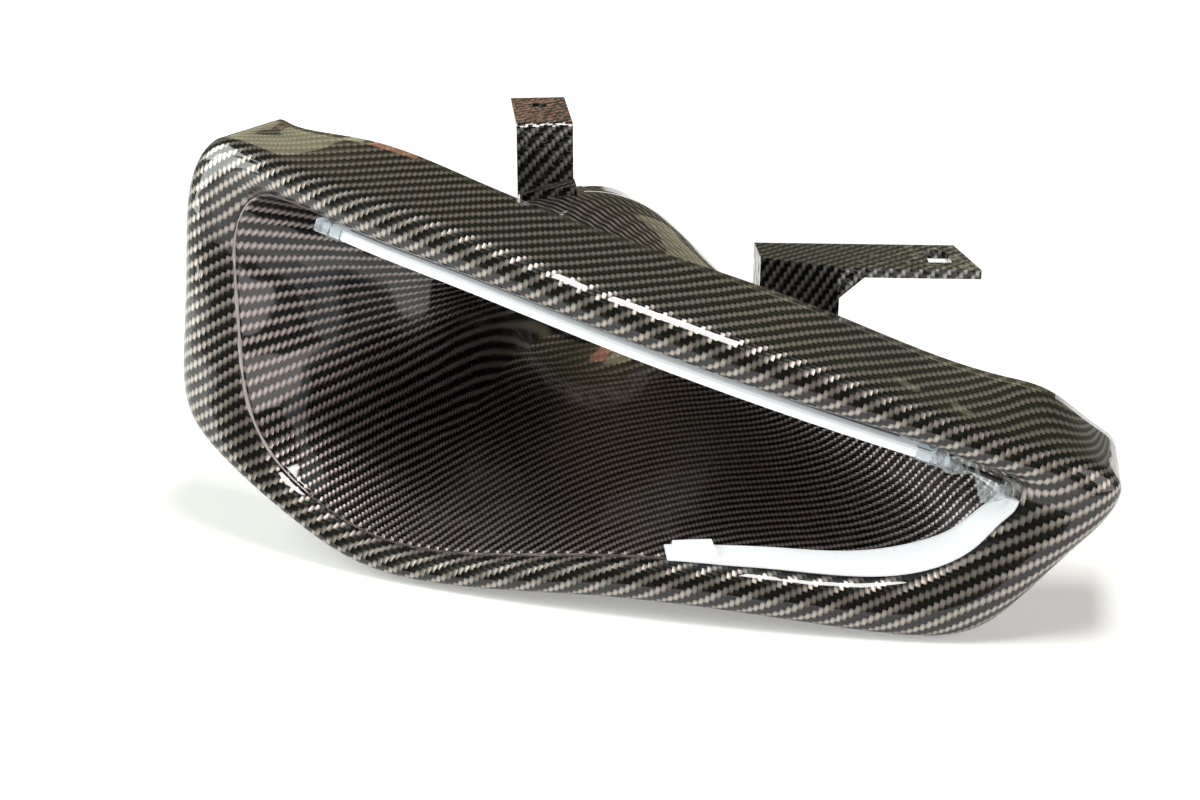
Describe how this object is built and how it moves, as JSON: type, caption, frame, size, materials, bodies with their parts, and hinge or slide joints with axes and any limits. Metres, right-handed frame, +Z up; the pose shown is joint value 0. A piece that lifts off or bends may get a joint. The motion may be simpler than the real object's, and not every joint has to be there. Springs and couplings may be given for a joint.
{
  "type": "headlight air intake",
  "caption": "Swept carbon-fibre air intake that takes the place of a car headlamp, with a wide rolled mouth, a funnel to a round hose spigot, bonded brackets and white light strips.",
  "frame": {"origin": "centre of the hose spigot's open rear end", "axes": "+Y runs rearwards out of the spigot, +Z is up, the mouth faces -Y, and +X runs along the mouth towards its pointed end"},
  "size_m": [0.3976, 0.2729, 0.1776],
  "materials": {
    "carbon_bezel": "black twill carbon laminate under a high-gloss clear coat",
    "carbon_funnel": "black twill carbon laminate, gloss inside",
    "carbon_brackets": "hand-laid black carbon, uneven resin surface",
    "epoxy": "cured dark epoxy, squeezed out round the bracket feet",
    "opal_silicone": "opal white flexible silicone, unlit",
    "clear_silicone": "clear silicone end cap",
    "bonding_tape": "grey foam bonding tape",
    "lead_sheath": "black lead sheath",
    "hot_melt": "clear hot-melt glue"
  },
  "bodies": {
    "root": {"front_bezel": "carbon_bezel", "intake_funnel": "carbon_funnel", "top_bracket": "carbon_brackets", "top_bracket_adhesive": "epoxy", "side_bracket": "carbon_brackets", "side_bracket_adhesive": "epoxy", "upper_light_strip": "opal_silicone", "upper_strip_cap_left": "clear_silicone", "upper_strip_cap_right": "clear_silicone", "upper_strip_tape": "bonding_tape", "lower_light_strip": "opal_silicone", "lower_strip_cap": "clear_silicone", "lower_strip_tape": "bonding_tape", "strip_lead": "lead_sheath", "corner_glue": "hot_melt"}
  },
  "joints": []
}
